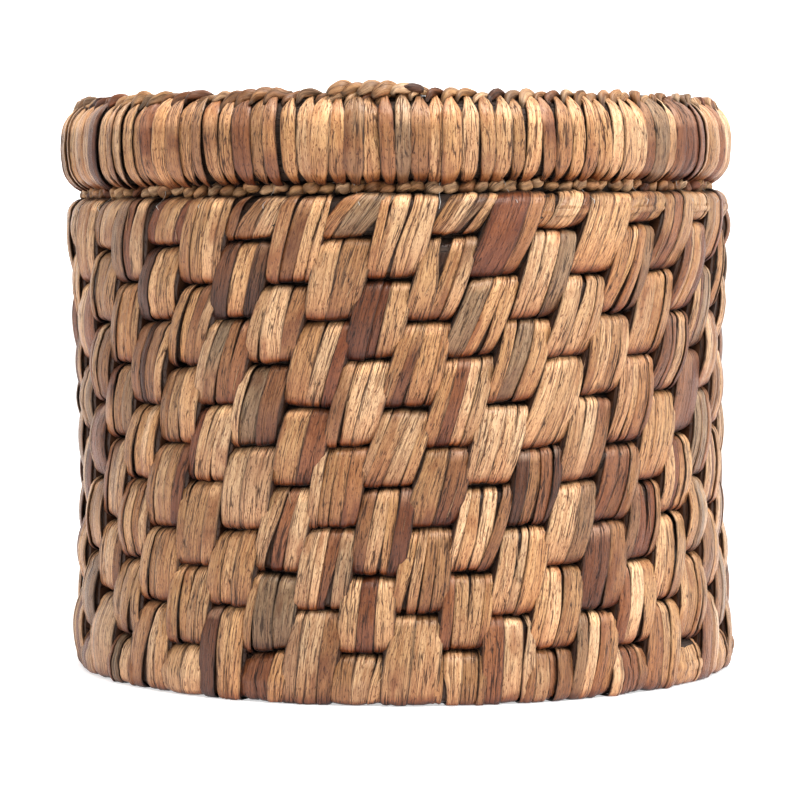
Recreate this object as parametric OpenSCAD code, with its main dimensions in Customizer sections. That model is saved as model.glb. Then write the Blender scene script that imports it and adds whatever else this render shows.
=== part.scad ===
// Seagrass storage basket.
// A round bundle of leaf is wound into a flat spiral for the bottom and a rising helix for the wall.
// Flat strips bind each turn to the next, and a thick wrapped roll is sewn on top as the rim.
// +Z is up, the origin is on the floor under the centre, and the front faces -Y.

/* [Basket] */
// Outside radius at the foot, at the top coil and at the rim
outer_radius = 206; // [196:1:230]
// How far the wall draws in at its waist
waist_inset = 7; // [0:0.5:12]
// Height of one row of coil
row_height = 23.6; // [22:0.1:26]
// Rows of coil in the wall
rows = 12; // [8:1:14]

/* [Strips] */
// Columns of stitches round the wall, odd so that they fall one row higher each time round
columns = 45; // [31:2:51]
// Thickness of a flat strip
strip_t = 1.2; // [0.8:0.1:1.4]
// Width of a strip in the bottom
base_strip_w = 8; // [5:0.5:8]

/* [Rim] */
// Height of the rim roll
rim_h = 51.4; // [44:0.2:60]
// Thickness of the rim roll, from inside to outside
rim_w = 38; // [30:0.5:42]
// Strips wrapped round the rim roll, with one braid knot each
rim_strips = 136; // [100:1:140]
// Radius of the top braid's knots
top_knot_r = 1.8; // [1.4:0.1:1.9]
// Radius of the seam braid's knots
seam_knot_r = 1.5; // [1.2:0.1:1.6]
// Nylon ties along the seam
ties = 28; // [12:1:40]
// Diameter of the nylon thread
tie_d = 0.7; // [0.4:0.1:1]

/* [Hidden] */
$fn = 64;
wall_top = rows * row_height;

// A coil stands back from the row's edges by this much, which leaves room for the strips
coil_gap = 1.3;
coil_r = row_height / 2 - 1.4;
// A coil squeezed into a low row stays this much wider than it is high
coil_spread = 0.6;
coil_sides = 8;
sliver = 0.01;
loop_out = (row_height + strip_t) / 2;
loop_in = (row_height - strip_t) / 2;

// The helix starts at the back, runs evenly to this share of a turn, then climbs to the next row
turn_start = 90;
climb_from = 0.85;
tail_share = 0.2;
end_step = 0.01;
lead_in_steps = 9;
tail_from = 0.004;
tail_steps = 11;

foot_w = 8;
foot_h = 4;
foot_gap = 0.3;
floor_gap = 0.2;
strip_share = 0.92;

// The bottom is lifted so that the strips under it clear the floor
foot_radius = centre_at(row_height / 2);
base_z = (row_height + strip_t) / 2 + 0.4;
base_edge = foot_radius - loop_out - strip_t;
base_start = 0.02;
base_steps = 18;
base_end = base_edge / row_height + 0.3;
base_rings = floor(base_edge / row_height - 1.5);
centre_knot_r = 3.2;
centre_knot_at = [4.2, -3.5];

seam_h = 4.9;
rim_bottom = wall_top + strip_t / 2 + seam_h;
rim_mid = rim_bottom + rim_h / 2;
rim_radius = outer_radius - rim_w / 2;
core_gap = strip_t + 0.4;
seam_braid_z = rim_bottom - seam_h / 2;
seam_braid_radius = outer_radius - 15.4;
seam_knot_l = 4.8;
seam_knot_tilt = 20;
tie_bow = 80;
tie_gap = 0.2;
top_braid_radius = rim_radius + 2.4;
top_knot_l = 4.8;
top_knot_tilt = 35;
top_braid_z = rim_bottom + rim_h + 0.2 + top_knot_r + top_knot_l / 2 * sin(top_knot_tilt);
tail_start = 260;
tail_knots = 5;
tail_out = 2.9;
tail_up = 2.4;
end_knot_r = 2.5;
end_knot_out = 4.4;
end_knot_up = 1.2;

core_colour = [0.55, 0.41, 0.27];
strip_colours = [[0.78, 0.60, 0.42], [0.66, 0.48, 0.32], [0.50, 0.33, 0.22]];
braid_colour = [0.60, 0.42, 0.29];
nylon_colour = [0.88, 0.90, 0.92];

function numbered(name, k) = str(name, k < 10 ? "0" : "", k);
function ease(u) = u * u * (3 - 2 * u);

// ---- shape of the wall ----

// Outside radius of the wall at height z, drawn in at the waist
function outer_at(z) = outer_radius - waist_inset * (1 - pow(2 * z / wall_top - 1, 2));
function centre_at(z) = outer_at(z) - loop_out;
function flare_at(z) = atan(4 * waist_inset * (2 * z / wall_top - 1) / wall_top);
function azimuth(f) = turn_start + 360 * f;

// Height of the upper edge of row k, a share f of the way round from the back.
// The lowest rows are level, and the rows above slope more and more, up to a full helix.
function even_edge(k, f) = row_height * (k + (k - 1) / (rows - 2) * (f - 0.5));
function edge(k, f) =
    k <= 0 ? 0
    : k > rows ? wall_top
    : k == rows ? wall_top - row_height / 2 * max(0, 1 - f / tail_share)
    : f <= climb_from ? even_edge(k, f)
    : let (u = ease((f - climb_from) / (1 - climb_from)))
      even_edge(k, climb_from) * (1 - u) + edge(k + 1, 0) * u;

// Angle at which row edge k climbs there
function climb_at(k, f) =
    let (a = max(f - 0.01, 0), b = min(f + 0.01, 1))
    atan((edge(k, b) - edge(k, a)) / ((b - a) * 2 * PI * centre_at(edge(k, f))));

// ---- swept coils ----

// One cross-section of a coil, in the upright plane at azimuth az
function section(radius, z, half_w, half_h, az) =
    [for (j = [0:coil_sides - 1])
        let (a = (j + 0.5) * 360 / coil_sides, r = radius + half_w * cos(a))
        [r * cos(az), r * sin(az), z + half_h * sin(a)]];

function wall_section(low, high, f) =
    let (half_h = (high - low) / 2 - coil_gap, z = (low + high) / 2)
    section(centre_at(z), z, min(coil_r, half_h + coil_spread), half_h, azimuth(f));

module sweep(sections) {
    n = len(sections);
    s = coil_sides;
    polyhedron(
        points = [for (ring = sections) each ring],
        faces = concat(
            [[for (j = [s - 1:-1:0]) j]],
            [for (i = [0:n - 2], j = [0:s - 1]) [i * s + j, i * s + (j + 1) % s, (i + 1) * s + (j + 1) % s]],
            [for (i = [0:n - 2], j = [0:s - 1]) [i * s + j, (i + 1) * s + (j + 1) % s, (i + 1) * s + j]],
            [[for (j = [0:s - 1]) (n - 1) * s + j]]
        )
    );
}

// ---- strips ----

module stadium(height, r) {
    translate([0, height / 2 - r]) circle(r);
    translate([0, r - height / 2]) circle(r);
    if (height > 2 * r + sliver) {
        square([2 * r, height - 2 * r], center = true);
    }
}

// A closed loop of strip, seen from its edge
module loop_profile(height) {
    difference() {
        stadium(height + strip_t, loop_out);
        stadium(height - strip_t, loop_in);
    }
}

// One stitch round the rows between the heights low and high, as wide as its strips together
module wall_stitch(low, high, f, climb, tone) {
    span = strip_share * 360 / columns;
    mid = (low + high) / 2;
    color(strip_colours[tone % 3])
        rotate([0, 0, azimuth(f)]) translate([0, 0, mid]) rotate([climb, 0, 0]) rotate([0, 0, -span / 2])
        rotate_extrude(angle = span) difference() {
            translate([centre_at(mid), 0]) rotate(-flare_at(mid)) loop_profile(high - low);
            if (low <= 0) {
                translate([foot_radius, low - mid])
                    square([foot_w + 2 * foot_gap, 2 * (foot_h + foot_gap)], center = true);
                translate([0, low - mid - row_height + floor_gap]) square([2 * outer_radius, row_height]);
            }
        }
}

// ---- bottom ----

function base_inner(t) = max(0, row_height * (t - 0.5));
function base_outer(t) = min(row_height * (t + 0.5), base_edge);

module base_coil() {
    count = ceil((base_end - base_start) * base_steps);
    color(core_colour) sweep([for (i = [0:count])
        let (
            t = base_start + (base_end - base_start) * i / count,
            middle = (base_outer(t) + base_inner(t)) / 2,
            half_w = middle - base_inner(t) - coil_gap
        )
        section(middle, base_z, half_w, min(coil_r, half_w + coil_spread), 360 * t)]);
}

module base_centre_knot() {
    color(strip_colours[2]) translate([centre_knot_at.x, centre_knot_at.y, base_z])
        cylinder(r = centre_knot_r, h = row_height - 2 * coil_gap, center = true);
}

// How many stitches bind ring i of the bottom to the next: the rings further out take more
function base_count(i) = i <= 2 ? 7 : i <= 4 ? 21 : 42;

module base_stitches(i) {
    count = base_count(i);
    share = i == 2 || i == 4 || (i > 4 && i % 2 == 1) ? 0.5 : 0;
    for (m = [0:count - 1]) {
        turn = (m + share) / count;
        inner = base_inner(i + turn);
        length = base_outer(i + turn + 1) - inner;
        color(strip_colours[m % 3]) rotate([0, 0, 360 * turn])
            translate([inner + length / 2, base_strip_w / 2, base_z])
            rotate([90, 0, 0]) linear_extrude(base_strip_w) rotate(90) loop_profile(length);
    }
}

// ---- wall ----

module wall_coil(k) {
    if (k == 1) {
        color(core_colour) rotate_extrude($fn = 180) {
            translate([foot_radius, row_height / 2]) circle(coil_r);
            translate([foot_radius - foot_w / 2, 0]) square([foot_w, foot_h]);
        }
    } else {
        color(core_colour) sweep([for (i = [0:columns])
            wall_section(edge(k - 1, i / columns), edge(k, i / columns), i / columns)]);
    }
}

// The coil climbs off the foot ring at the back, under the end of the first turn
module wall_lead_in() {
    color(core_colour) sweep([for (i = [-lead_in_steps:0])
        let (f = 1 + i * end_step)
        wall_section(row_height, edge(1, f), f)]);
}

// The last turn thins out under the rim
module wall_tail() {
    color(core_colour) sweep([for (i = [0:tail_steps])
        let (f = tail_from + i * end_step)
        wall_section(edge(rows, f), wall_top, f)]);
}

// Every second column along the helix has a stitch round this row and the next
module wall_stitches(k) {
    for (c = [0:columns - 1]) {
        f = (c + 0.5) / columns;
        if (((k - 1) * columns + c) % 2 == 0) {
            wall_stitch(edge(k - 1, f), edge(k + 1, f), f, k == 1 ? 0 : climb_at(k, f), c + k);
        }
    }
}

module foot_wraps() {
    for (c = [1:2:columns - 1]) {
        wall_stitch(0, row_height, (c + 0.5) / columns, 0, c);
    }
}

module top_wraps() {
    for (c = [0:columns - 1]) {
        f = (c + 0.5) / columns;
        if (((rows - 2) * columns + c) % 2 == 1 && edge(rows, f) - edge(rows - 1, f) >= row_height) {
            wall_stitch(edge(rows - 1, f), edge(rows, f), f, climb_at(rows - 1, f) / 2, c);
        }
    }
}

// ---- rim ----

module rim_core() {
    color(core_colour) rotate_extrude($fn = 180) translate([rim_radius, rim_mid])
        stadium(rim_h - 2 * core_gap, rim_w / 2 - core_gap);
}

// A quarter of the strips round the rim
module rim_wraps(q) {
    step = 360 / rim_strips;
    for (i = [ceil((q - 1) * rim_strips / 4):ceil(q * rim_strips / 4) - 1]) {
        color(strip_colours[i * 7 % 3]) rotate([0, 0, i * step])
            rotate_extrude(angle = strip_share * step) translate([rim_radius, rim_mid]) difference() {
                stadium(rim_h, rim_w / 2);
                stadium(rim_h - 2 * strip_t, rim_w / 2 - strip_t);
            }
    }
}

// A round-ended knot, lying along the edge and slanting upwards
module knot(r, length, tilt) {
    rotate([90 + tilt, 0, 0]) {
        cylinder(r = r, h = length, center = true);
        translate([0, 0, length / 2]) sphere(r);
        translate([0, 0, -length / 2]) sphere(r);
    }
}

module braid(radius, z, r, length, tilt, first, last) {
    for (i = [first:last]) {
        rotate([0, 0, i * 360 / rim_strips]) translate([radius, 0, z]) knot(r, length, tilt);
    }
}

module rim_top_braid() {
    color(braid_colour)
        braid(top_braid_radius, top_braid_z, top_knot_r, top_knot_l, top_knot_tilt, 0, rim_strips - 1);
}

module rim_braid_tail() {
    first = round(tail_start / 360 * rim_strips);
    color(braid_colour) {
        braid(top_braid_radius + tail_out, top_braid_z + tail_up, top_knot_r, top_knot_l, top_knot_tilt,
            first, first + tail_knots - 1);
        rotate([0, 0, (first + tail_knots) * 360 / rim_strips])
            translate([top_braid_radius + end_knot_out, 0, top_braid_z + end_knot_up]) sphere(end_knot_r);
    }
}

module seam_braid() {
    color(braid_colour)
        braid(seam_braid_radius, seam_braid_z, seam_knot_r, seam_knot_l, seam_knot_tilt, 0, rim_strips - 1);
}

// Each tie shows as a short bow of thread over the seam braid
module nylon_ties() {
    bow_r = seam_h / 2 + tie_d / 2 + tie_gap;
    for (i = [0:ties - 1]) {
        color(nylon_colour) rotate([0, 0, (i + 0.5) * 360 / ties])
            translate([seam_braid_radius, 0, seam_braid_z]) rotate([90, 0, 0]) rotate([0, 0, -tie_bow / 2])
            rotate_extrude(angle = tie_bow) translate([bow_r, 0]) circle(tie_d / 2, $fn = 24);
    }
}

base_coil();
base_centre_knot();
for (i = [1:base_rings]) base_stitches(i);
for (k = [1:rows]) wall_coil(k);
wall_lead_in();
wall_tail();
for (k = [1:rows - 1]) wall_stitches(k);
foot_wraps();
top_wraps();
rim_core();
for (q = [1:4]) rim_wraps(q);
rim_top_braid();
rim_braid_tail();
seam_braid();
nylon_ties();
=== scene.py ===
"""Seagrass storage basket: strip-bound coils, a wrapped rim roll and two braided edges."""
import math
import random

import bpy
import numpy as np
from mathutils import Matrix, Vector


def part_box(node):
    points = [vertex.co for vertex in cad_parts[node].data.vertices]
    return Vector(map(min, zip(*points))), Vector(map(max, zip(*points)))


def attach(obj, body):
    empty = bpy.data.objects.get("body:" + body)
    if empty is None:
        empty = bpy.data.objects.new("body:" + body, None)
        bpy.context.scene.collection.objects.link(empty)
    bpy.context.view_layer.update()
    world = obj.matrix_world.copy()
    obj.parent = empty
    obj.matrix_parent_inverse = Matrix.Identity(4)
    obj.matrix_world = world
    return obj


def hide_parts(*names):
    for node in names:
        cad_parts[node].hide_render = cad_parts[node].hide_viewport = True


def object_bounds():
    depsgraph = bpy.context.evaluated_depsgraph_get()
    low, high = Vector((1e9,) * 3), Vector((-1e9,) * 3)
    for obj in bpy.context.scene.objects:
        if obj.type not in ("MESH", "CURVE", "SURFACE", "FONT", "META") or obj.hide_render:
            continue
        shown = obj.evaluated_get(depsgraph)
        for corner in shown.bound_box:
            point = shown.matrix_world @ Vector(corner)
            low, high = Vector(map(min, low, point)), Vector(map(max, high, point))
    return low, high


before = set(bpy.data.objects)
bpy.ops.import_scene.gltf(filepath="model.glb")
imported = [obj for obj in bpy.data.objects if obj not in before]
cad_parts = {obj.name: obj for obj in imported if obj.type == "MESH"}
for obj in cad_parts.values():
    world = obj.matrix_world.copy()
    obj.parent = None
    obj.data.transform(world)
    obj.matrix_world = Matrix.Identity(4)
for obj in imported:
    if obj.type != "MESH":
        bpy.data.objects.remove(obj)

bl_info = {
    "name": "Seagrass Storage Basket",
    "version": (1, 0, 0),
    "blender": (4, 5, 0),
    "location": "View3D > Sidebar > Basket",
    "description": "Builds a round coiled storage basket bound with flat dried strips",
    "category": "Add Mesh",
}

MM = 0.001
FULL_TURN = 2 * math.pi
FLOOR_GAP = 0.3 * MM

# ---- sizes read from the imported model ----

CAD_LOW, CAD_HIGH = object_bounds()
NODES = sorted(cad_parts)
RIM_LOW, RIM_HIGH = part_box("rim_wraps_01")
RIM_BOTTOM, RIM_TOP = RIM_LOW.z, RIM_HIGH.z
TOP_WRAP_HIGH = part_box("top_wraps")[1].z
BASE_LOW, BASE_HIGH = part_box("base_coil")
BASE_MIDDLE = (BASE_LOW.z + BASE_HIGH.z) / 2
SEAM_LOW, SEAM_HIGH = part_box("seam_braid")


def nodes_named(*starts):
    return [n for n in NODES if n.startswith(starts)]


ROWS = len(nodes_named("wall_coil_"))


# ---- settings ----

class BasketSizes(bpy.types.PropertyGroup):
    outer_radius: bpy.props.FloatProperty(
        name="Outer radius", description="Outside radius at the rim, the top coil and the foot",
        default=CAD_HIGH.x, unit="LENGTH")
    waist_inset: bpy.props.FloatProperty(
        name="Waist inset", description="How far the wall draws in at its waist",
        default=7 * MM, unit="LENGTH")
    wall_top: bpy.props.FloatProperty(
        name="Wall height", description="Height of the coiled wall below the seam",
        default=TOP_WRAP_HIGH - 0.6 * MM, unit="LENGTH")
    columns: bpy.props.IntProperty(
        name="Stitch columns", description="Columns of stitches round the wall, an odd number", default=45)
    strip_thickness: bpy.props.FloatProperty(
        name="Strip thickness", description="Thickness of a flat dried strip", default=1.2 * MM, unit="LENGTH")
    lean: bpy.props.FloatProperty(
        name="Stitch lean", description="How far the stitches lean from upright, half way up the wall",
        default=math.radians(15), subtype="ANGLE")
    lean_swing: bpy.props.FloatProperty(
        name="Lean swing", description="How much more the stitches lean at the right than at the left",
        default=math.radians(4), subtype="ANGLE")
    rim_strips: bpy.props.IntProperty(
        name="Rim strips", description="Strips wrapped round the rim roll", default=136)
    rim_thickness: bpy.props.FloatProperty(
        name="Rim thickness", description="Thickness of the rim roll, from inside to outside",
        default=38 * MM, unit="LENGTH")
    ties: bpy.props.IntProperty(name="Nylon ties", description="Nylon ties along the seam", default=28)
    seed: bpy.props.IntProperty(name="Seed", description="Chooses the strips' widths and tones", default=11)


def tone_property(name, description, colour):
    return bpy.props.FloatVectorProperty(
        name=name, description=description, default=colour, size=3, subtype="COLOR", min=0, max=1)


class BasketTones(bpy.types.PropertyGroup):
    honey: tone_property("Honey", "Pale golden strips", (0.50, 0.280, 0.128))
    straw: tone_property("Straw", "The lightest strips", (0.65, 0.425, 0.248))
    tan: tone_property("Tan", "Mid tan strips", (0.35, 0.172, 0.074))
    russet: tone_property("Russet", "Reddish brown strips", (0.205, 0.070, 0.028))
    umber: tone_property("Umber", "The darkest strips", (0.105, 0.042, 0.020))
    olive: tone_property("Olive", "Grey-green weathered strips", (0.29, 0.195, 0.115))
    core: tone_property("Core", "The bundle inside the coils", (0.05, 0.026, 0.014))


class StageSettings(bpy.types.PropertyGroup):
    camera_distance: bpy.props.FloatProperty(
        name="Camera distance", description="Distance from the basket's axis", default=2.0, unit="LENGTH")
    camera_height: bpy.props.FloatProperty(
        name="Camera height", description="Height of the lens above the floor", default=0.2745, unit="LENGTH")
    camera_pitch: bpy.props.FloatProperty(
        name="Camera pitch", description="How far the camera looks down",
        default=math.radians(3.2), subtype="ANGLE")
    lens: bpy.props.FloatProperty(name="Lens", description="Focal length in millimetres", default=144.0)


def sizes():
    return bpy.context.scene.basket_sizes


def tones():
    return bpy.context.scene.basket_tones


# ---- shape of the wall ----

TURN_START = math.pi / 2
CLIMB_FROM = 0.85
TAIL_SHARE = 0.2
FOOT_SWELL = 5.5 * MM
LEAN = 3 * MM
OUT_OF_ROUND = 0.004
SEAM_LIFT = 1.15 * MM
SEAM_TILT = 0.014
TILT_HEIGHTS = (0.12, 0.286)
TILT_FADES_FROM = 0.290
TILT_FADE = 0.66


def row_height():
    return sizes().wall_top / ROWS


def ease(u):
    return u * u * (3 - 2 * u)


def even_edge(k, f):
    return row_height() * (k + (k - 1) / (ROWS - 2) * (f - 0.5))


def edge(k, f):
    """Height of the upper edge of row k, a share f of the way round from the back."""
    if k <= 0:
        return 0.0
    if k > ROWS:
        return sizes().wall_top
    if k == ROWS:
        return sizes().wall_top - row_height() / 2 * max(0.0, 1 - f / TAIL_SHARE)
    if f <= CLIMB_FROM:
        return even_edge(k, f)
    u = ease((f - CLIMB_FROM) / (1 - CLIMB_FROM))
    return even_edge(k, CLIMB_FROM) * (1 - u) + edge(k + 1, 0) * u


def climb(k, f):
    a, b = max(f - 0.01, 0), min(f + 0.01, 1)
    return (edge(k, b) - edge(k, a)) / ((b - a) * FULL_TURN * sizes().outer_radius)


def outer_at(z):
    s = sizes()
    return s.outer_radius - s.waist_inset * (1 - (2 * z / s.wall_top - 1) ** 2)


def flare_at(z):
    s = sizes()
    return 4 * s.waist_inset * (2 * z / s.wall_top - 1) / s.wall_top


def azimuth(f):
    return TURN_START + FULL_TURN * f


def lean_slope(f):
    s = sizes()
    return math.tan(s.lean + s.lean_swing * math.sin(FULL_TURN * (f - 0.5)))


def slide(f, z):
    """How far round the leaning columns have moved at height z, as a share of a turn."""
    s = sizes()
    return lean_slope(f) * (0.5 * z + 0.5 * z * z / s.wall_top) / (FULL_TURN * s.outer_radius)


def slide_slope(f, z):
    return lean_slope(f) * (0.5 + z / sizes().wall_top)


def carried(k, f):
    """The row and share of a turn once f has run on past the back."""
    return (k + 1, f - 1) if f >= 1 else (k, f)


def settle(points):
    """A used basket leans a little, isn't quite round, stands on a swollen foot and has a tilted seam."""
    height = points[:, 2]
    tilt = (SEAM_LIFT + SEAM_TILT * points[:, 0]) * smooth(height, *TILT_HEIGHTS)
    tilt *= 1 - TILT_FADE * smooth(height, TILT_FADES_FROM, RIM_TOP)
    points[:, 2] += tilt + FOOT_SWELL * np.clip(height / row_height(), 0, 1)
    z = points[:, 2] / RIM_TOP
    turn = np.arctan2(points[:, 1], points[:, 0])
    grow = 1 + OUT_OF_ROUND * np.sin(2 * turn + 0.6) * z
    points[:, 0] = points[:, 0] * grow + LEAN * (1 - 2 * z)
    points[:, 1] = points[:, 1] * grow
    points[:, 2] = np.maximum(points[:, 2], FLOOR_GAP)
    return points


# ---- meshes of strips ----

class Build:
    """Gathers strips into one mesh, and for each point keeps its place along and across and its tone."""

    def __init__(self):
        self.points, self.faces, self.along, self.tone, self.rounded = [], [], [], [], []
        self.count = 0

    def tube(self, rings, along, across, tone, key, closed):
        """rings is (n, m, 3): n rings of m points. across is (m,) in metres and along (n,)."""
        n, m, _ = rings.shape
        index = np.arange(n * m).reshape(n, m) + self.count
        ahead = np.roll(index, -1, axis=0) if closed else index[1:]
        here = index if closed else index[:-1]
        quads = np.stack([here, np.roll(here, -1, 1), np.roll(ahead, -1, 1), ahead], -1).reshape(-1, 4)
        self.points.append(rings.reshape(-1, 3))
        self.faces.append(quads)
        self.rounded.append(np.ones(len(quads), dtype=bool))
        place = np.empty((n, m, 3))
        place[..., 0] = along[:, None]
        place[..., 1] = across[None, :]
        place[..., 2] = key
        self.along.append(place.reshape(-1, 3))
        colours = np.ones((n, m, 4))
        colours[..., :3] = np.clip(tone, 0.004, 0.95)
        self.tone.append(colours.reshape(-1, 4))
        self.count += n * m
        if not closed:
            self.caps(index)

    def caps(self, index):
        n, m = index.shape
        for ring in (index[0][::-1], index[-1]):
            fan = [[ring[j], ring[j + 1], ring[m - 2 - j], ring[m - 1 - j]] for j in range((m - 1) // 2)]
            self.faces.append(np.array(fan))
            self.rounded.append(np.zeros(len(fan), dtype=bool))

    def mesh(self, name):
        points = settle(np.concatenate(self.points))
        faces = np.concatenate(self.faces)
        mesh = bpy.data.meshes.new(name)
        mesh.vertices.add(len(points))
        mesh.vertices.foreach_set("co", points.astype(np.float32).ravel())
        mesh.loops.add(faces.size)
        mesh.loops.foreach_set("vertex_index", faces.astype(np.int32).ravel())
        mesh.polygons.add(len(faces))
        mesh.polygons.foreach_set("loop_start", np.arange(0, faces.size, 4, dtype=np.int32))
        mesh.polygons.foreach_set("use_smooth", np.concatenate(self.rounded))
        place = mesh.attributes.new("fibre_place", "FLOAT_VECTOR", "POINT")
        place.data.foreach_set("vector", np.concatenate(self.along).astype(np.float32).ravel())
        tone = mesh.attributes.new("fibre_tone", "FLOAT_COLOR", "POINT")
        tone.data.foreach_set("color", np.concatenate(self.tone).astype(np.float32).ravel())
        mesh.validate()
        mesh.update()
        return mesh


def finish_piece(build, name, material, replaced):
    piece = bpy.data.objects.new(name, build.mesh(name))
    bpy.context.collection.objects.link(piece)
    piece.data.materials.append(material)
    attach(piece, "root")
    if replaced:
        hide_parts(*replaced)
    return piece


def loop_path(half_w, half_h, round_top, round_bottom, bulge=0.0, side=9, corner=5, flat=3):
    """A closed path of (out, up) points: up the outer side, over, down the inner side and under."""
    path = []

    def straight(a, b, steps, out):
        for i in range(1, steps + 1):
            u = i / (steps + 1)
            x = a[0] + (b[0] - a[0]) * u
            path.append((x + out * 4 * u * (1 - u), a[1] + (b[1] - a[1]) * u))

    def arc(cx, cy, r, start):
        for i in range(corner + 1):
            a = start + math.pi / 2 * i / corner
            path.append((cx + r * math.cos(a), cy + r * math.sin(a)))

    rt, rb = min(round_top, half_w, half_h), min(round_bottom, half_w, half_h)
    straight((half_w, rb - half_h), (half_w, half_h - rt), side, bulge)
    arc(half_w - rt, half_h - rt, rt, 0)
    straight((half_w - rt, half_h), (rt - half_w, half_h), flat, 0)
    arc(rt - half_w, half_h - rt, rt, math.pi / 2)
    straight((-half_w, half_h - rt), (-half_w, rb - half_h), side, -bulge * 0.5)
    arc(rb - half_w, rb - half_h, rb, math.pi)
    straight((rb - half_w, -half_h), (half_w - rb, -half_h), flat, 0)
    arc(half_w - rb, rb - half_h, rb, 1.5 * math.pi)
    path = np.array(path)
    middle_inside = np.argmin(path[:, 0] / half_w + np.abs(path[:, 1]) / half_h)
    return np.roll(path, -middle_inside, axis=0)


def path_normals(path):
    ahead, back = np.roll(path, -1, 0), np.roll(path, 1, 0)
    step = ahead - back
    normal = np.stack([step[:, 1], -step[:, 0]], -1)
    return normal / np.maximum(np.linalg.norm(normal, axis=1), 1e-9)[:, None]


def path_lengths(path):
    step = np.linalg.norm(np.diff(path, axis=0, prepend=path[-1:]), axis=1)
    return np.cumsum(step)


def wave(rng, count, cycles=(1, 4)):
    """A smooth closed wave of random phase between about -1 and 1."""
    t = np.arange(count) / count * FULL_TURN
    total = np.zeros(count)
    for c in range(cycles[0], cycles[1] + 1):
        total += rng.uniform(-1, 1) * np.sin(c * t + rng.uniform(0, FULL_TURN)) / c
    return total


ACROSS = np.array([-1, -0.93, -0.78, -0.5, -0.18, 0.18, 0.5, 0.78, 0.93, 1])
UNDER = np.array([0.8, 0.0, -0.8])


def strip_section(rng, thickness):
    """Across-positions from -1 to 1 and heights of a flat strip's cross-section, top side then underside."""
    crown = thickness * (1 - 0.30 * np.abs(ACROSS) ** 2 - 0.45 * np.abs(ACROSS) ** 9)
    ridges = sum(rng.uniform(-0.10, 0.10) * np.cos(c * math.pi * ACROSS + rng.uniform(0, FULL_TURN))
                 for c in (2, 3, 5)) * thickness
    fold = 0.0
    if rng.random() < 0.25:
        centre, wide = rng.uniform(-0.6, 0.6), rng.uniform(0.12, 0.3)
        fold = rng.choice([-0.6, 0.5]) * thickness * np.exp(-((ACROSS - centre) / wide) ** 2)
    across = np.concatenate([ACROSS, UNDER])
    height = np.concatenate([crown + ridges + fold, np.array([-0.5, -0.25, -0.5]) * thickness])
    return across, height


def smooth(value, low, high):
    return ease(np.clip((value - low) / (high - low), 0, 1))


# A painted highlight, the pale sheen tone of a strip's top bend, and the painted shade: how much of each colour
# its hidden end and its lower half lose
SHEEN_TONE = np.array([0.88, 0.73, 0.54])
BEND_SHADE_TINT = np.array([0.60, 0.86, 1.0])
LOWER_SHADE_TINT = np.array([0.35, 0.85, 1.2])
LOWER_SHADE = 0.22
# Painted shade: how much a strip's edges lose, and how much of its tone its underside keeps
EDGE_SHADE = 0.74
UNDERSIDE = 0.4


def strip_tones(rng, path, across, tone, second, ends, sheen_band):
    """Tones over a strip: it drifts to a second tone, its top bend gets a painted highlight, and its lower half,
    hidden parts, edges and underside get painted shade.

    ends is how dark the painted shade at the bends goes. The last argument gives the band of painted sheen:
    where it starts, where it is full, how strong."""
    n = len(path)
    up = path[:, 1] / np.max(np.abs(path[:, 1]))
    drift = np.clip(0.5 + 0.9 * wave(rng, n, (1, 3)) + rng.uniform(-0.7, 0.3), 0, 1)[:, None]
    along = np.array(tone)[None, :] * (1 - drift) + np.array(second)[None, :] * drift
    # Painted highlight: a pale sheen band near the top of the strip's outer side
    painted_sheen = (smooth(up, sheen_band[0], sheen_band[1]) * (path[:, 0] > 0) * sheen_band[2])[:, None]
    along = along * (1 - painted_sheen) + SHEEN_TONE * painted_sheen * (0.35 + 1.6 * along)
    # Painted shade: the lower half darkens and warms, the hidden lower end darkens, and both far ends of the
    # loop darken
    along = along * (1 - LOWER_SHADE * smooth(-up, -0.1, 0.7)[:, None] * LOWER_SHADE_TINT)
    along = along * (1 - ends * smooth(-up, 0.72, 0.97)[:, None] * BEND_SHADE_TINT)
    along = along * (1 - ends * smooth(np.abs(up), 0.92, 1.0)[:, None])
    # Painted shade along the strip's edges and over its whole underside
    edges = 1 - EDGE_SHADE * smooth(np.abs(across), 0.82, 1.0)
    side = np.where(np.arange(len(across)) < len(ACROSS), edges, UNDERSIDE)
    return along[:, None, :] * side[None, :, None]


def lay_strip(build, rng, path, width, place, tones_pair, thickness, lateral=0.0, raise_by=0.0, roll=0.0,
              ends=0.5, sheen_band=(0.5, 0.8, 0.1)):
    """One strip laid once round a path. width and lateral are numbers or one value for each path point."""
    n = len(path)
    normals = path_normals(path)
    along = path_lengths(path)
    across, height = strip_section(rng, thickness)
    width = np.broadcast_to(width, (n,)) * (1 + 0.05 * wave(rng, n))
    lateral = np.broadcast_to(lateral, (n,)) + 0.3 * MM * wave(rng, n)
    lift = np.broadcast_to(raise_by, (n,)) + 0.2 * MM * wave(rng, n, (2, 6))
    turn = roll + 0.3 * roll * wave(rng, n)
    up = height[None, :] + lift[:, None] + turn[:, None] * across[None, :]
    side = lateral[:, None] + across[None, :] * width[:, None] / 2
    x = path[:, 0:1] + normals[:, 0:1] * up
    z = path[:, 1:2] + normals[:, 1:2] * up
    rings = place(x, z, side)
    # the colours carry painted shade and a band of painted sheen, worked out in strip_tones
    colours = strip_tones(rng, path, across, *tones_pair, ends, sheen_band)
    again = np.append(np.arange(n), 0)
    along = np.append(along, along[-1] + np.linalg.norm(path[0] - path[-1]))
    build.tube(rings[again], along, across * np.mean(width) / 2, colours[again], rng.uniform(0, 90), False)


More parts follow.
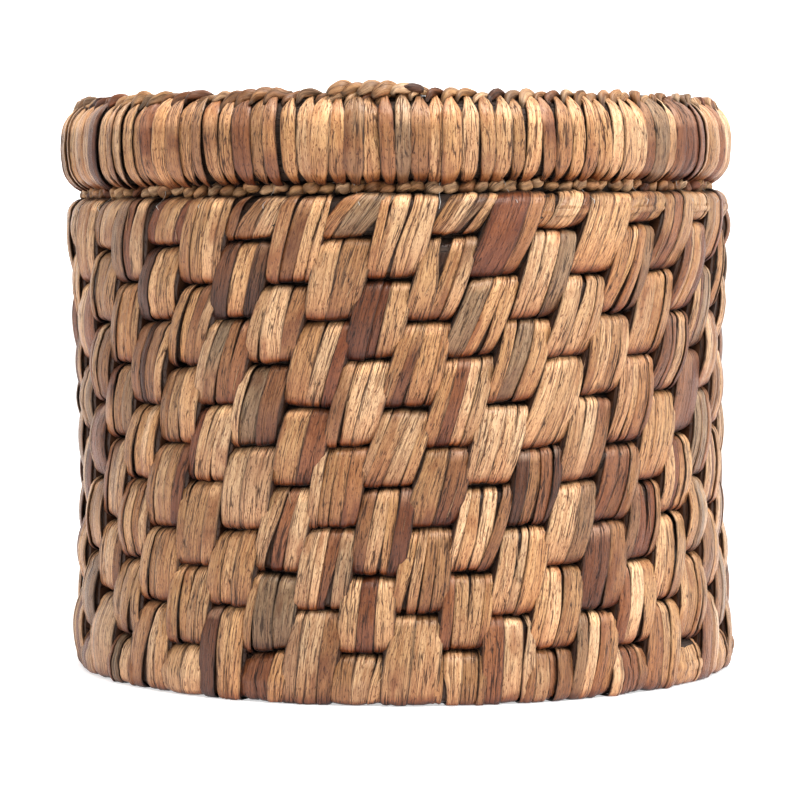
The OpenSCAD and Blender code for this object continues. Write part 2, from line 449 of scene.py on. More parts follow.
def on_wall(turn, radius, middle, climbing, flare, leaning, low=-1.0):
    """Places (out, up, aside) on the wall round the point at this turn, radius and height."""
    outer = sizes().outer_radius

    def place(x, z, side):
        side = side + leaning * z
        a = turn + side / outer
        r = radius + x + flare * z
        up = np.maximum(middle + z + climbing * side, low)
        return np.stack([r * np.cos(a), r * np.sin(a), up], -1)
    return place


def mix(a, b, u):
    return tuple(x * (1 - u) + y * u for x, y in zip(a, b))


def pick_tone(rng, dark=0.0):
    """A strip's colour: mostly honey and straw, with some tan, russet, umber and olive."""
    t = tones()
    roll = rng.random()
    if roll < 0.40:
        colour = mix(t.honey, t.straw, rng.random())
    elif roll < 0.68:
        colour = mix(t.honey, t.tan, rng.random())
    elif roll < 0.80:
        colour = mix(t.tan, t.russet, rng.random())
    elif roll < 0.87:
        colour = mix(t.olive, t.tan, rng.random() * 0.6)
    elif roll < 0.96:
        colour = mix(t.russet, t.tan, rng.random() * 0.4)
    else:
        colour = mix(t.umber, t.russet, rng.random())
    shade = rng.uniform(0.80, 1.15) * (1 - dark)
    return tuple(min(c * shade, 0.95) for c in colour)


# ---- materials ----

def socket(tree, name, kind, way, value=None):
    made = tree.interface.new_socket(name=name, in_out=way, socket_type=kind)
    if value is not None:
        made.default_value = value


def link(tree, a, b):
    tree.links.new(a, b)


def node(tree, kind, **values):
    made = tree.nodes.new(kind)
    for key, value in values.items():
        setattr(made, key, value)
    return made


def maths(tree, operation, a, b=None, clamp=False):
    made = node(tree, "ShaderNodeMath", operation=operation, use_clamp=clamp)
    for i, value in enumerate((a, b)):
        if value is None:
            continue
        if isinstance(value, (int, float)):
            made.inputs[i].default_value = value
        else:
            link(tree, value, made.inputs[i])
    return made.outputs[0]


def ramp(tree, value, low, high, a=0.0, b=1.0):
    made = node(tree, "ShaderNodeMapRange", interpolation_type="SMOOTHSTEP")
    link(tree, value, made.inputs["Value"])
    for name, v in (("From Min", low), ("From Max", high), ("To Min", a), ("To Max", b)):
        made.inputs[name].default_value = v
    return made.outputs["Result"]


def streaks(tree, vector, scale, detail=3.0, rough=0.6):
    """Noise drawn out along the strip: scale is (along, across, strip)."""
    stretch = node(tree, "ShaderNodeVectorMath", operation="MULTIPLY")
    link(tree, vector, stretch.inputs[0])
    stretch.inputs[1].default_value = scale
    noise = node(tree, "ShaderNodeTexNoise", noise_dimensions="3D")
    noise.inputs["Scale"].default_value = 1.0
    noise.inputs["Detail"].default_value = detail
    noise.inputs["Roughness"].default_value = rough
    link(tree, stretch.outputs[0], noise.inputs["Vector"])
    return noise.outputs["Fac"]


def mixed(tree, kind, factor, a, b):
    made = node(tree, "ShaderNodeMix", data_type="RGBA", blend_type=kind)
    for value, place in ((factor, made.inputs["Factor"]), (a, made.inputs["A"]), (b, made.inputs["B"])):
        if isinstance(value, (int, float)):
            place.default_value = value
        elif isinstance(value, tuple):
            place.default_value = (*value, 1.0)
        else:
            link(tree, value, place)
    return made.outputs["Result"]


# Noise scales of dried leaf, in cycles per metre along a strip and across it, and from strip to strip
FINE_FIBRES = (210, 1650, 37.1)
BROAD_STREAKS = (22, 480, 19.3)
BLOTCHES = (30, 70, 11.7)
PORES = (420, 1300, 53.9)
CRACKS = (24, 420, 71.3)

# What each of them multiplies the strip's tone by
STREAK_SHADE = (0.58, 0.43, 0.34)
BLOTCH_LIGHT = (1.14, 1.17, 1.22)
BLOTCH_SHADE = (0.50, 0.33, 0.24)
FIBRE_SHADE = (0.40, 0.26, 0.19)
FIBRE_LIGHT = (1.22, 1.25, 1.30)
PORE_SHADE = (0.35, 0.22, 0.16)
CRACK_SHADE = (0.10, 0.05, 0.035)


def dried_fibre_group():
    """Colour, roughness and relief of dried leaf: long fibres, dark flecks, pale streaks and blotches."""
    tree = bpy.data.node_groups.get("dried_fibre")
    if tree:
        return tree
    tree = bpy.data.node_groups.new("dried_fibre", "ShaderNodeTree")
    socket(tree, "Tone", "NodeSocketColor", "INPUT", (0.5, 0.3, 0.15, 1))
    socket(tree, "Place", "NodeSocketVector", "INPUT")
    socket(tree, "Fibre", "NodeSocketFloat", "INPUT", 1.0)
    socket(tree, "Flecks", "NodeSocketFloat", "INPUT", 1.0)
    socket(tree, "Gloss", "NodeSocketFloat", "INPUT", 0.5)
    socket(tree, "Color", "NodeSocketColor", "OUTPUT")
    socket(tree, "Roughness", "NodeSocketFloat", "OUTPUT")
    socket(tree, "Height", "NodeSocketFloat", "OUTPUT")
    ins = node(tree, "NodeGroupInput")
    outs = node(tree, "NodeGroupOutput")
    place = ins.outputs["Place"]
    fibre = ins.outputs["Fibre"]
    fine = streaks(tree, place, FINE_FIBRES, 3.0, 0.8)
    broad = streaks(tree, place, BROAD_STREAKS, 3.0, 0.55)
    blotch = streaks(tree, place, BLOTCHES, 3.0, 0.6)
    pores = streaks(tree, place, PORES, 1.0, 0.5)
    seams = streaks(tree, place, CRACKS, 2.0, 0.5)
    crack = ramp(tree, maths(tree, "ABSOLUTE", maths(tree, "SUBTRACT", seams, 0.5)), 0.026, 0.004)
    crack = maths(tree, "MULTIPLY", crack, ramp(tree, blotch, 0.36, 0.52))
    crack = maths(tree, "MULTIPLY", crack, fibre, True)
    dark = maths(tree, "MULTIPLY", ramp(tree, fine, 0.49, 0.36), fibre, True)
    pale = maths(tree, "MULTIPLY", ramp(tree, fine, 0.52, 0.66), fibre, True)
    pore = maths(tree, "MULTIPLY", ramp(tree, pores, 0.60, 0.70), ins.outputs["Flecks"], True)
    base = ins.outputs["Tone"]
    base = mixed(tree, "MULTIPLY", ramp(tree, broad, 0.56, 0.34, 0, 0.55), base, STREAK_SHADE)
    base = mixed(tree, "MULTIPLY", ramp(tree, blotch, 0.54, 0.70, 0, 0.7), base, BLOTCH_LIGHT)
    base = mixed(tree, "MULTIPLY", ramp(tree, blotch, 0.46, 0.30, 0, 0.75), base, BLOTCH_SHADE)
    base = mixed(tree, "MULTIPLY", maths(tree, "MULTIPLY", dark, 0.7), base, FIBRE_SHADE)
    base = mixed(tree, "MULTIPLY", maths(tree, "MULTIPLY", pale, 0.8), base, FIBRE_LIGHT)
    base = mixed(tree, "MULTIPLY", maths(tree, "MULTIPLY", pore, 0.8), base, PORE_SHADE)
    base = mixed(tree, "MULTIPLY", maths(tree, "MULTIPLY", crack, 0.86), base, CRACK_SHADE)
    link(tree, base, outs.inputs["Color"])
    rough = maths(tree, "ADD", maths(tree, "SUBTRACT", 0.80, ins.outputs["Gloss"]),
                  maths(tree, "MULTIPLY", fine, 0.25))
    link(tree, maths(tree, "ADD", rough, maths(tree, "MULTIPLY", crack, 0.3), True), outs.inputs["Roughness"])
    relief = maths(tree, "ADD", maths(tree, "MULTIPLY", fine, 0.5), maths(tree, "MULTIPLY", broad, 0.8))
    relief = maths(tree, "SUBTRACT", relief, maths(tree, "MULTIPLY", crack, 1.1))
    link(tree, maths(tree, "SUBTRACT", relief, maths(tree, "MULTIPLY", pore, 0.3)), outs.inputs["Height"])
    return tree


def leaf_material(name, fibre=1.0, flecks=1.0, gloss=0.5, relief=0.5):
    """Dried leaf in its own balance of fibres, flecks and gloss."""
    made = bpy.data.materials.get(name)
    if made:
        return made
    made = bpy.data.materials.new(name)
    made.use_nodes = True
    tree = made.node_tree
    shader = tree.nodes["Principled BSDF"]
    shader.inputs["Specular IOR Level"].default_value = 0.5
    shader.inputs["Sheen Weight"].default_value = 0.05
    shader.inputs["Sheen Roughness"].default_value = 0.4
    grain = node(tree, "ShaderNodeGroup")
    grain.node_tree = dried_fibre_group()
    grain.inputs["Fibre"].default_value = fibre
    grain.inputs["Flecks"].default_value = flecks
    grain.inputs["Gloss"].default_value = gloss
    place = node(tree, "ShaderNodeAttribute", attribute_name="fibre_place")
    tone = node(tree, "ShaderNodeAttribute", attribute_name="fibre_tone")
    link(tree, place.outputs["Vector"], grain.inputs["Place"])
    link(tree, tone.outputs["Color"], grain.inputs["Tone"])
    bump = node(tree, "ShaderNodeBump")
    bump.inputs["Strength"].default_value = relief
    bump.inputs["Distance"].default_value = 0.7 * MM
    link(tree, grain.outputs["Height"], bump.inputs["Height"])
    link(tree, grain.outputs["Color"], shader.inputs["Base Color"])
    link(tree, grain.outputs["Roughness"], shader.inputs["Roughness"])
    link(tree, bump.outputs["Normal"], shader.inputs["Normal"])
    return made


def wall_leaf():
    return leaf_material("stitch_strip_leaf", 1.0, 1.0, 0.58, 0.8)


def rim_leaf():
    return leaf_material("rim_strip_leaf", 1.0, 1.0, 0.60, 0.75)


def braid_leaf():
    return leaf_material("braid_leaf", 0.8, 0.5, 0.45, 0.45)


def core_leaf():
    return leaf_material("core_bundle_leaf", 1.0, 1.0, 0.30, 0.9)


def nylon_material():
    made = bpy.data.materials.get("clear_nylon")
    if made:
        return made
    made = bpy.data.materials.new("clear_nylon")
    made.use_nodes = True
    tree = made.node_tree
    shader = tree.nodes["Principled BSDF"]
    shader.inputs["Roughness"].default_value = 0.2
    shader.inputs["Coat Weight"].default_value = 0.5
    noise = node(tree, "ShaderNodeTexNoise")
    noise.inputs["Scale"].default_value = 60
    cloud = mixed(tree, "MIX", noise.outputs["Fac"], (0.40, 0.40, 0.38), (0.70, 0.70, 0.68))
    link(tree, cloud, shader.inputs["Base Color"])
    return made


# ---- wall ----

STRIP_COUNTS = (2, 3, 4)
COUNT_CHANCES = (0.14, 0.48, 0.38)
TURN_SPREAD = math.radians(3.2)
FAN_SPREAD = math.radians(2.0)
TOP_BEND = (7.0 * MM, 9.5 * MM)
BOTTOM_BEND = (4.2 * MM, 6.2 * MM)
TORN_CHANCE = 0.16
FRAY_CHANCE = 0.16


def row_wander(k, f):
    """Small swell of a row's edge that grows and shrinks round the basket."""
    if k <= 0 or k >= ROWS:
        return 0.0
    turn = FULL_TURN * f
    return 1.5 * MM * math.sin(2 * turn + 1.7 * k) + 1.1 * MM * math.sin(5 * turn + 2.9 * k)


def wandering_edge(k, f):
    return edge(k, f) + row_wander(k, f)


def lay_stitch(build, rng, k, column, span, turned=0.0, sunk=0.0):
    """A stitch of two to four strips side by side round rows k to k + span - 1."""
    s = sizes()
    f = (column + 0.5) / s.columns
    f += slide(f, (edge(k - 1, f) + edge(k + span - 1, f)) / 2)
    row, f = carried(k, f)
    low, high = wandering_edge(row - 1, f), wandering_edge(row + span - 1, f)
    if high - low < 0.6 * row_height():
        return
    middle = (low + high) / 2
    half_h = (high - low) / 2 - s.strip_thickness + rng.uniform(-0.5, 0.4) * MM
    half_w = row_height() / 2 + 0.1 * MM
    radius = outer_at(middle) - half_w - s.strip_thickness - sunk
    slope = slide_slope(f, middle) + math.tan(turned + rng.gauss(0, TURN_SPREAD))
    pitch = FULL_TURN / s.columns * s.outer_radius
    block = pitch * rng.uniform(1.04, 1.14)
    turn = azimuth(f) + rng.gauss(0, 0.7 * MM) / s.outer_radius
    climbing = climb(row, f) if k > 1 and row < ROWS else 0.0
    climbing += rng.gauss(0.02, 0.02) if k > 1 else 0.0
    path = loop_path(half_w - 0.8 * MM, half_h, rng.uniform(*TOP_BEND), rng.uniform(*BOTTOM_BEND),
                     rng.uniform(1.2, 3.2) * MM * (span - 0.4) / 1.6)
    ends = np.clip(np.abs(path[:, 1]) / half_h, 0, 1) ** 8
    pinch = 1 - rng.uniform(0.0, 0.08) * ends
    count = rng.choices(STRIP_COUNTS, COUNT_CHANCES)[0]
    shares = [rng.uniform(0.55, 1.45) for _ in range(count)]
    total = sum(shares)
    start = -block / 2
    group = pick_tone(rng)
    lay_pad(build, path, on_wall(turn, radius, middle, climbing, flare_at(middle), slope), block * 1.05)
    tilt = rng.uniform(-0.9, 0.9) * MM
    for share in shares:
        width = block * share / total
        centre = start + width / 2
        tone = pick_tone(rng) if rng.random() < 0.6 else group
        second = pick_tone(rng) if rng.random() < 0.35 else tone
        fan = math.tan(rng.gauss(0, FAN_SPREAD))
        torn = 0.0
        if rng.random() < TORN_CHANCE:
            torn = rng.uniform(0.15, 0.40) * smooth(rng.choice((-1, 1)) * path[:, 1] / half_h, -0.4, 0.9)
        sink = (share is shares[0]) - (share is shares[-1])
        # each strip carries painted shade at its bends and a painted highlight band on its top bend
        lay_strip(
            build, rng, path, width * rng.uniform(1.03, 1.12) * pinch * (1 - torn),
            on_wall(turn, radius, middle, climbing, flare_at(middle), slope + fan),
            (tone, second), s.strip_thickness * rng.uniform(0.8, 1.2),
            lateral=centre * pinch + rng.choice((-0.5, 0.5)) * width * torn,
            raise_by=rng.uniform(-0.5, 0.8) * MM + tilt * 2 * centre / block,
            roll=tilt * width / block + (rng.uniform(-0.3, 0.3) + 0.6 * sink) * MM, ends=0.9,
            sheen_band=(rng.uniform(0.58, 0.74), rng.uniform(0.80, 0.90), max(0.0, rng.uniform(-0.15, 0.75))))
        if rng.random() < FRAY_CHANCE:
            lay_fray(build, rng, path, on_wall(turn, radius, middle, climbing, flare_at(middle), slope + fan),
                     centre, mix(tone, tones().straw, 0.6))
        start += width


def lay_fray(build, rng, path, place, side, tone):
    """A loose sliver of leaf that lifts off a strip."""
    start = rng.randrange(len(path) // 2 - 5, len(path) // 2 + 8)
    u = np.linspace(0, 1, 7)
    near = path[start:start + 7]
    lift = (1.3 + u * u * rng.uniform(0.3, 2.2)) * MM
    at = near + path_normals(path)[start:start + 7] * lift[:, None]
    wide = rng.uniform(0.25, 0.6) * MM * (1 - 0.8 * u)
    aside = side + u * rng.gauss(0, 3.0 * MM)
    corners = np.array([(-1, 0), (0, 0.14 * MM), (1, 0), (0, -0.14 * MM)])
    rings = place(at[:, :1] + corners[None, :, 1], at[:, 1:],
                  aside[:, None] + wide[:, None] * corners[None, :, 0])
    build.tube(rings, u * 12 * MM, corners[:, 0] * 0.5 * MM, tone, 7.0, False)


def lay_pad(build, path, place, width):
    """The stuffing inside a stitch: the coil's leaf, squeezed out to fill its strips."""
    inset = path[::2] - path_normals(path)[::2] * 0.5 * MM
    rings = []
    for share, more in ((-1, 2.5), (-0.86, 0.6), (0, 0), (0.86, 0.6), (1, 2.5)):
        shrunk = inset - path_normals(inset) * more * MM
        rings.append(place(shrunk[:, 0], shrunk[:, 1], np.full(len(inset), share * width / 2)))
    stations = np.array([-1, -0.86, 0, 0.86, 1]) * width / 2
    tone = mix(tones().core, tones().umber, 0.35)
    build.tube(np.array(rings), stations, path_lengths(inset), tone, 5.0, False)
    build.along[-1] = build.along[-1][:, [1, 0, 2]]


class BASKET_OT_wall_stitches(bpy.types.Operator):
    """Lays the blocks of strips that bind each coil of the wall to the next"""
    bl_idname = "basket.wall_stitches"
    bl_label = "Wall Stitches"

    def execute(self, context):
        s = sizes()
        for k in range(1, ROWS):
            rng = random.Random(s.seed * 100 + k)
            build = Build()
            for column in range(s.columns):
                if ((k - 1) * s.columns + column) % 2 == 0:
                    lay_stitch(build, rng, k, column, 2)
            name = f"wall_stitches_{k:02d}"
            finish_piece(build, f"strips_of_{name}", wall_leaf(), [name])
        return {"FINISHED"}


class BASKET_OT_single_wraps(bpy.types.Operator):
    """Lays the short wraps of the foot ring and of the top coil"""
    bl_idname = "basket.single_wraps"
    bl_label = "Foot and Top Wraps"

    def execute(self, context):
        s = sizes()
        rng = random.Random(s.seed + 1)
        foot = Build()
        for column in range(1, s.columns, 2):
            lay_stitch(foot, rng, 1, column, 1)
        finish_piece(foot, "strips_of_foot_wraps", wall_leaf(), ["foot_wraps"])
        top = Build()
        for column in range(s.columns):
            if ((ROWS - 2) * s.columns + column) % 2:
                lay_stitch(top, rng, ROWS, column, 1, math.radians(rng.uniform(8, 22)), 0.7 * MM)
        finish_piece(top, "strips_of_top_wraps", wall_leaf(), ["top_wraps"])
        return {"FINISHED"}


def bundle_ring(centre_r, centre_z, half_w, half_h, turn, phase, sides=20):
    """One cross-section of a twisted bundle of leaf."""
    a = np.arange(sides) / sides * FULL_TURN
    swell = 1 + 0.05 * np.cos(5 * a + phase) + 0.03 * np.cos(9 * a - 1.7 * phase)
    c, d = (np.sign(v) * np.abs(v) ** 0.85 for v in (np.cos(a), np.sin(a)))
    r = centre_r + half_w * swell * c
    return np.stack([r * math.cos(turn), r * math.sin(turn), centre_z + half_h * swell * d], -1)


def lay_bundle(build, rings, tone, girth, key=3.0):
    rings = np.array(rings)
    step = np.linalg.norm(np.diff(rings.mean(1), axis=0, prepend=rings.mean(1)[:1]), axis=1)
    across = np.arange(rings.shape[1]) / rings.shape[1] * girth
    build.tube(rings, np.cumsum(step), across, tone, key, False)


class BASKET_OT_coils(bpy.types.Operator):
    """Winds the core bundle: the flat spiral of the bottom, the foot ring and the rising helix of the wall"""
    bl_idname = "basket.coils"
    bl_label = "Coils"

    def execute(self, context):
        s = sizes()
        gap = 1.0 * MM
        most = row_height() / 2 - 1.8 * MM
        wall = Build()
        steps = 140

        def wall_ring(low, high, f, phase):
            half = (high - low) / 2 - gap
            z = (low + high) / 2
            centre = outer_at(z) - row_height() / 2 - s.strip_thickness
            return bundle_ring(centre, z, min(most, half + 0.6 * MM), half, azimuth(f), phase)

        for k in range(1, ROWS + 1):
            rings = []
            for i in range(steps + 1):
                f = i / steps
                low, high = wandering_edge(k - 1, f), wandering_edge(k, f)
                if k == 1:
                    low, high = 0.0, row_height()
                rings.append(wall_ring(low, high, f, f * 60 + k))
            lay_bundle(wall, rings, tones().core, 66 * MM, 3.0 + k)
        lead = [wall_ring(row_height(), edge(1, f), f, f * 60) for f in np.linspace(0.91, 1.0, 20)]
        tail = [wall_ring(edge(ROWS, f), s.wall_top, f, f * 60) for f in np.linspace(0.004, 0.12, 20)]
        lay_bundle(wall, lead, tones().core, 50 * MM)
        lay_bundle(wall, tail, tones().tan, 50 * MM)
        # a thin twist of leaf behind each groove, so that no light comes through between two turns
        for k in range(1, ROWS):
            twist = []
            for f in np.linspace(0, 1, steps + 1):
                z = wandering_edge(k, f)
                centre = outer_at(z) - row_height() / 2 - s.strip_thickness
                twist.append(bundle_ring(centre, z, 3 * MM, 2.4 * MM, azimuth(f), k, 8))
            lay_bundle(wall, twist, tones().core, 20 * MM, 20.0 + k)
        finish_piece(wall, "core_of_wall", core_leaf(),
                     nodes_named("wall_coil_") + ["wall_lead_in", "wall_tail"])
        base = Build()
        edge_r, rise = base_edge(), row_height()
        rings = []
        for t in np.linspace(0.02, edge_r / rise + 0.3, 560):
            inner, outer = base_inner(t), base_outer(t)
            half = (outer - inner) / 2 - gap
            rings.append(bundle_ring((inner + outer) / 2, BASE_MIDDLE, max(half, 1 * MM),
                                     min(most, half + 0.6 * MM), FULL_TURN * t, t * 30))
        lay_bundle(base, rings, tones().core, 66 * MM)
        finish_piece(base, "core_of_base", core_leaf(), ["base_coil"])
        return {"FINISHED"}


# ---- bottom ----

def base_edge():
    """Outside radius of the bottom, inside the first stitches of the wall."""
    s = sizes()
    return outer_at(row_height() / 2) - row_height() - 2 * s.strip_thickness


def base_inner(t):
    return max(0.0, row_height() * (t - 0.5))


def base_outer(t):
    return min(row_height() * (t + 0.5), base_edge())


def base_ring_count(i):
    return 7 if i <= 2 else 21 if i <= 4 else 42


class BASKET_OT_base(bpy.types.Operator):
    """Lays the strips that bind the turns of the bottom, and the knot at its centre"""
    bl_idname = "basket.base"
    bl_label = "Bottom"

    def execute(self, context):
        s = sizes()
        build = Build()
        rng = random.Random(s.seed + 7)
        rings = nodes_named("base_stitches_")
        for i in range(1, len(rings) + 1):
            count = base_ring_count(i)
            share = 0.5 if i in (2, 4, 5) else 0.0
            for m in range(count):
                t = (m + share) / count
                self.lay_block(build, rng, base_inner(i + t), base_outer(i + t + 1), t,
                               FULL_TURN / count / 2 * 1.06)
        for j in range(6):
            self.lay_centre(build, rng, j * FULL_TURN / 6 + 0.3)
        finish_piece(build, "strips_of_base", wall_leaf(), rings + ["base_centre_knot"])
        return {"FINISHED"}

    def lay_block(self, build, rng, inner, outer, t, width_angle):
        s = sizes()
        middle = (inner + outer) / 2
        half_h = (outer - inner) / 2 + 0.3 * MM
        half_w = row_height() / 2 - 0.6 * MM
        path = loop_path(half_w, half_h, 6 * MM, 6 * MM, 0.5 * MM, side=5, corner=3, flat=2)
        strips = max(1, min(4, round(width_angle * middle / (8.5 * MM))))
        for j in range(strips):
            turn = FULL_TURN * t + (j - (strips - 1) / 2) * width_angle / strips

            def place(x, z, side, turn=turn):
                r = middle + z
                a = turn + side / np.maximum(middle, 30 * MM)
                return np.stack([r * np.cos(a), r * np.sin(a), np.maximum(BASE_MIDDLE + x, FLOOR_GAP)], -1)
            tone = pick_tone(rng, 0.08)
            lay_strip(build, rng, path, width_angle / strips * middle * 1.05, place, (tone, tone),
                      s.strip_thickness * rng.uniform(0.9, 1.2), raise_by=rng.uniform(-0.3, 0.3) * MM,
                      roll=rng.uniform(-0.4, 0.4) * MM)

    def lay_centre(self, build, rng, turn):
        s = sizes()
        path = loop_path(row_height() / 2 - 0.8 * MM, 14.5 * MM, 6 * MM, 6 * MM, 0.4 * MM)

        def place(x, z, side):
            r = 17 * MM + z
            a = turn + side / (20 * MM)
            return np.stack([r * np.cos(a), r * np.sin(a), np.maximum(BASE_MIDDLE + x, FLOOR_GAP)], -1)
        tone = pick_tone(rng, 0.1)
        lay_strip(build, rng, path, 9 * MM, place, (tone, tone), s.strip_thickness, raise_by=-0.3 * MM)


# ---- rim ----

class BASKET_OT_rim_roll(bpy.types.Operator):
    """Makes the rim's core bundle and the flat strips wrapped round it"""
    bl_idname = "basket.rim_roll"
    bl_label = "Rim Roll"

    def execute(self, context):
        s = sizes()
        half_w = s.rim_thickness / 2 - s.strip_thickness
        half_h = (RIM_TOP - RIM_BOTTOM) / 2 - s.strip_thickness
        centre_r = s.outer_radius - s.rim_thickness / 2
        middle = (RIM_TOP + RIM_BOTTOM) / 2
        core = Build()
        rings = []
        path = loop_path(half_w - 1 * MM, half_h - 1 * MM, half_w - 1 * MM, half_w - 1 * MM)
        for i in range(241):
            turn = FULL_TURN * i / 240
            swell = 1 + 0.02 * np.cos(7 * np.arange(len(path)) / len(path) * FULL_TURN + i * 0.4)
            r = centre_r + path[:, 0] * swell
            rings.append(np.stack([r * math.cos(turn), r * math.sin(turn), middle + path[:, 1] * swell], -1))
        lay_bundle(core, rings, tones().core, 140 * MM)
        seam_z = (SEAM_LOW.z + SEAM_HIGH.z) / 2
        filler = [bundle_ring(centre_r + 1 * MM, seam_z, 4 * MM, 4 * MM, FULL_TURN * i / 240, i * 0.3, 12)
                  for i in range(241)]
        lay_bundle(core, filler, tones().core, 25 * MM)
        finish_piece(core, "core_of_rim", core_leaf(), ["rim_core"])
        rng = random.Random(s.seed + 31)
        path = loop_path(half_w, half_h, half_w, half_w - 2 * MM, 0.6 * MM, side=12, corner=7, flat=1)
        up = path[:, 1] / half_h
        outside = ease(np.clip((path[:, 0] / half_w + 0.2) / 0.5, 0, 1))
        halves = [Build(), Build()]
        pitch = FULL_TURN / s.rim_strips
        for i in range(s.rim_strips):
            width = pitch * s.outer_radius * rng.uniform(0.82, 1.36)
            tip, foot = rng.uniform(0.12, 0.36), rng.uniform(0.42, 0.75)
            above = tip + (1 - tip) * smooth(1 - up, -0.03, rng.uniform(0.26, 0.5))
            below = foot + (1 - foot) * smooth(1 + up, 0.0, rng.uniform(0.25, 0.5))
            taper = 0.86 * (1 - outside) + above * below * outside
            turn = pitch * (i + 0.5) + rng.gauss(0, 0.6 * MM) / s.outer_radius
            tone = pick_tone(rng)
            second = pick_tone(rng) if rng.random() < 0.4 else tone
            # each rim strip carries painted shade at its bends and lower half, and a painted sheen band over its
            # upper part
            lay_strip(halves[2 * i // s.rim_strips], rng, path, width * taper,
                      on_wall(turn, centre_r, middle, 0.0, 0.0, math.tan(rng.gauss(0.01, math.radians(1.6)))),
                      (tone, second), s.strip_thickness * rng.uniform(0.9, 1.3),
                      raise_by=rng.uniform(-0.4, 1.4) * MM, roll=rng.uniform(-1.3, 1.3) * MM, ends=0.75,
                      sheen_band=(rng.uniform(0.22, 0.36), rng.uniform(0.42, 0.55), rng.uniform(0.2, 0.7)))
        quarters = nodes_named("rim_wraps_")
        for name, build, replaced in (("front", halves[1], quarters[2:]), ("back", halves[0], quarters[:2])):
            finish_piece(build, f"strips_of_rim_{name}", rim_leaf(), replaced)
        return {"FINISHED"}


def lay_knot(build, rng, turn, radius, z, pitch, size, shape, tone):
    """A plait knot. shape gives (side, out, up, fatness) at stations from its leg to its tucked end."""
    stations = np.linspace(0, 1, len(shape))
    u = np.linspace(0, 1, 13)
    side, out, up, fat = (np.interp(u, stations, [p[c] for p in shape]) for c in range(4))
    kernel = np.array([0.25, 0.5, 0.25])
    for values in (side, out, up, fat):
        values[1:-1] = np.convolve(values, kernel, "valid")
    side = side * pitch
    a = np.arange(12) / 12 * FULL_TURN
    twist = rng.uniform(0, 6)
    rings = []
    for i in range(len(u)):
        ridge = 1 + 0.15 * np.cos(3 * a + twist + 2 * u[i])
        j0, j1 = max(i - 1, 0), min(i + 1, len(u) - 1)
        run, lift = side[j1] - side[j0], up[j1] - up[j0]
        length = max(math.hypot(run, lift), 1e-6)
        thick, wide = size[0] * fat[i] * ridge * np.cos(a), size[1] * fat[i] * ridge * np.sin(a)
        angle = turn + (side[i] - wide * lift / length) / radius
        r = radius + out[i] + thick
        rings.append(np.stack([r * np.cos(angle), r * np.sin(angle), z + up[i] + wide * run / length], -1))
    along = np.linspace(0, 1.8 * pitch, len(u))
    # Painted shade: the knot darkens where it thins to tuck under its neighbours, and in the grooves between its
    # strands
    tuck_shade = (0.25 + 0.75 * smooth(fat, 0.3, 0.9))[:, None, None]
    groove = 0.62 + 0.38 * smooth(np.cos(3 * a[None, :] + twist + 2 * u[:, None]), -0.9, 0.1)
    colours = np.array(tone)[None, None, :] * tuck_shade * groove[:, :, None]
    build.tube(np.array(rings), along, a / FULL_TURN * 13 * MM, colours, rng.uniform(0, 90), False)


# Stations of a knot: how far aside in knots, out, up, and how fat
TOP_KNOT = ((-0.55, 8.0, -6.0, 0.30), (-0.48, 6.5, -3.2, 0.50), (-0.30, 4.0, -0.6, 0.85), (0.05, 2.2, 0.9, 1.0),
            (0.45, 0.4, 0.9, 0.9), (0.9, -1.6, -0.8, 0.5))
SECOND_KNOT = ((-0.75, 5.0, -4.0, 0.4), (-0.45, 3.4, -1.0, 0.8), (0.0, 1.4, 0.6, 1.1), (0.45, 0.0, 0.6, 1.0),
               (0.9, -1.6, -0.8, 0.5))
SEAM_KNOT = ((-0.56, 0.2, -2.4, 0.25), (-0.32, 1.0, -1.4, 0.85), (0.0, 1.5, 0.0, 1.0), (0.34, 0.8, 1.2, 0.85),
             (0.62, -1.2, 2.2, 0.25))


def lay_braid(build, rng, radius, z, size, shape, first, count, jitter, dark):
    pitch = FULL_TURN / sizes().rim_strips
    for i in range(first, first + count):
        grow = rng.uniform(0.78, 1.18)
        bent = [(p[0] + rng.gauss(0, 0.05), *(v * MM * grow + rng.gauss(0, jitter) for v in p[1:3]), p[3])
                for p in shape]
        lay_knot(build, rng, pitch * (i + 0.5 + rng.gauss(0, 0.07)), radius, z + rng.gauss(0, jitter),
                 pitch * radius, (size[0] * grow, size[1] * grow), bent, pick_tone(rng, dark))


